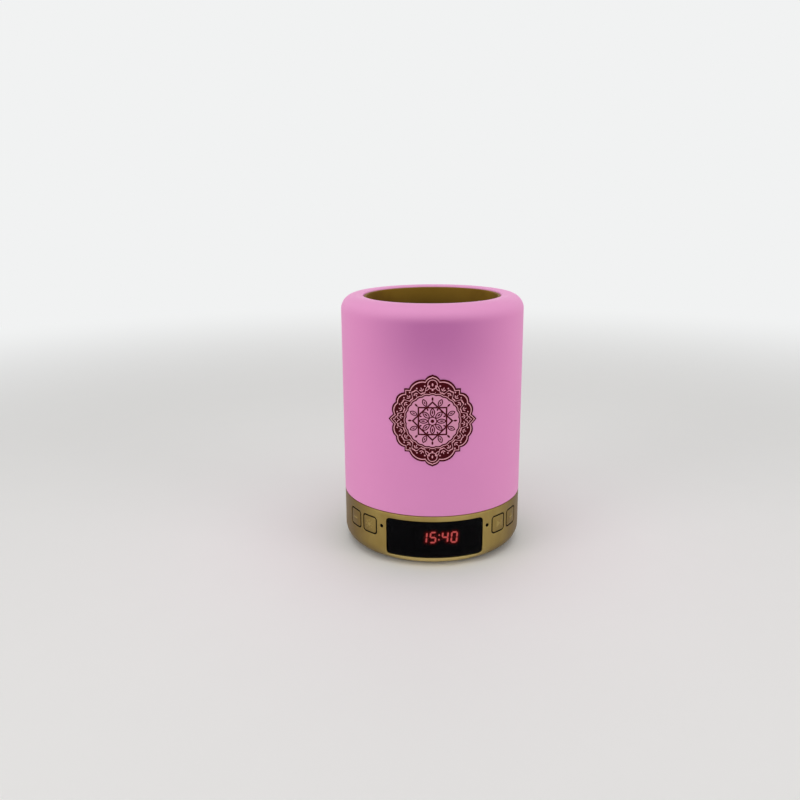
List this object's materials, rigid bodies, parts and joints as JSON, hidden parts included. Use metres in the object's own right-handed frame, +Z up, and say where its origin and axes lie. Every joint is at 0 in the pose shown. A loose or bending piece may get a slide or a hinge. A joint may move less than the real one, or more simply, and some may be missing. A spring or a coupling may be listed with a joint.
{
  "type": "speaker lamp",
  "caption": "Round night-light speaker: translucent shade with an open top recess over a loudspeaker, and a base with a clock window and push buttons.",
  "frame": {"origin": "centre of the lamp at the surface that its feet stand on", "axes": "+Z up along the lamp's axis; the clock window and the medallion face -Y; +X to the right as seen from the front"},
  "size_m": [0.097, 0.0976, 0.136],
  "materials": {
    "bronze_plastic": "satin metallic gold-bronze paint",
    "dark_bronze_plastic": "satin metallic bronze paint",
    "pink_diffuser": "matte translucent pink",
    "bronze_grille": "satin bronze paint",
    "smoked_acrylic": "polished, almost black",
    "maroon_badge": "satin",
    "black_plastic": "matte",
    "white_plastic": "matte",
    "green_board": "solder mask",
    "white_board": "white solder mask",
    "cell_wrap": "shrink sleeve",
    "bright_steel": "plated",
    "black_steel": "black paint",
    "ferrite": "matte sintered",
    "black_rubber": "matte",
    "black_foam": "matte",
    "black_paper": "matte pulp",
    "cloth": "resin-stiffened cloth",
    "copper": "enamelled wire",
    "clear_resin": "clear"
  },
  "bodies": {
    "housing": {"base_shell": "bronze_plastic", "bottom_plate": "black_plastic", "diffuser_shade": "pink_diffuser", "top_bezel": "dark_bronze_plastic", "touch_grille": "bronze_grille", "display_window": "smoked_acrylic", "display_module": "black_plastic", "medallion": "maroon_badge", "main_board": "green_board", "battery_cell": "cell_wrap", "inner_column": "white_plastic", "light_board": "white_board", "usb_port": "bright_steel", "card_slot": "bright_steel", "power_switch_body": "bright_steel", "microphone": "bright_steel", "status_light": "clear_resin", "speaker_gasket": "black_foam", "speaker_basket": "black_steel", "speaker_top_plate": "bright_steel", "speaker_magnet": "ferrite", "speaker_yoke": "bright_steel", "speaker_surround": "black_rubber", "speaker_spider": "cloth", "bottom_screw_1": "bright_steel", "rubber_foot_1": "black_rubber", "board_screw_1": "bright_steel", "speaker_screw_1": "bright_steel", "switch_body_1": "bright_steel", "bottom_screw_2": "bright_steel", "rubber_foot_2": "black_rubber", "board_screw_2": "bright_steel", "speaker_screw_2": "bright_steel", "switch_body_2": "bright_steel", "bottom_screw_3": "bright_steel", "rubber_foot_3": "black_rubber", "board_screw_3": "bright_steel", "speaker_screw_3": "bright_steel", "switch_body_3": "bright_steel", "bottom_screw_4": "bright_steel", "rubber_foot_4": "black_rubber", "board_screw_4": "bright_steel", "speaker_screw_4": "bright_steel", "switch_body_4": "bright_steel"},
    "button_1": {"button_cap_1": "bronze_plastic", "switch_plunger_1": "black_plastic"},
    "button_2": {"button_cap_2": "bronze_plastic", "switch_plunger_2": "black_plastic"},
    "button_3": {"button_cap_3": "bronze_plastic", "switch_plunger_3": "black_plastic"},
    "button_4": {"button_cap_4": "bronze_plastic", "switch_plunger_4": "black_plastic"},
    "power_slider": {"power_switch_knob": "black_plastic"},
    "speaker_diaphragm": {"speaker_cone": "black_paper", "dust_cap": "black_paper", "voice_coil": "copper"}
  },
  "joints": [
    {"name": "button_1_press", "type": "slide", "parent": "housing", "child": "button_1", "axis": [0.8572, 0.515, 0], "range_m": [0, 0.0005], "stiffness_N_per_m": 600, "springref_m": -0.0008},
    {"name": "button_2_press", "type": "slide", "parent": "housing", "child": "button_2", "axis": [0.6998, 0.7143, 0], "range_m": [0, 0.0005], "stiffness_N_per_m": 600, "springref_m": -0.0008},
    {"name": "button_3_press", "type": "slide", "parent": "housing", "child": "button_3", "axis": [-0.6998, 0.7143, 0], "range_m": [0, 0.0005], "stiffness_N_per_m": 600, "springref_m": -0.0008},
    {"name": "button_4_press", "type": "slide", "parent": "housing", "child": "button_4", "axis": [-0.8572, 0.515, 0], "range_m": [0, 0.0005], "stiffness_N_per_m": 600, "springref_m": -0.0008},
    {"name": "power_slide", "type": "slide", "parent": "housing", "child": "power_slider", "axis": [-0.9272, -0.3746, 0], "range_m": [0, 0.002]},
    {"name": "diaphragm_excursion", "type": "slide", "parent": "housing", "child": "speaker_diaphragm", "axis": [0, 0, 1], "range_m": [-0.001, 0.001], "stiffness_N_per_m": 800, "deforming": ["speaker_surround", "speaker_spider"]}
  ]
}
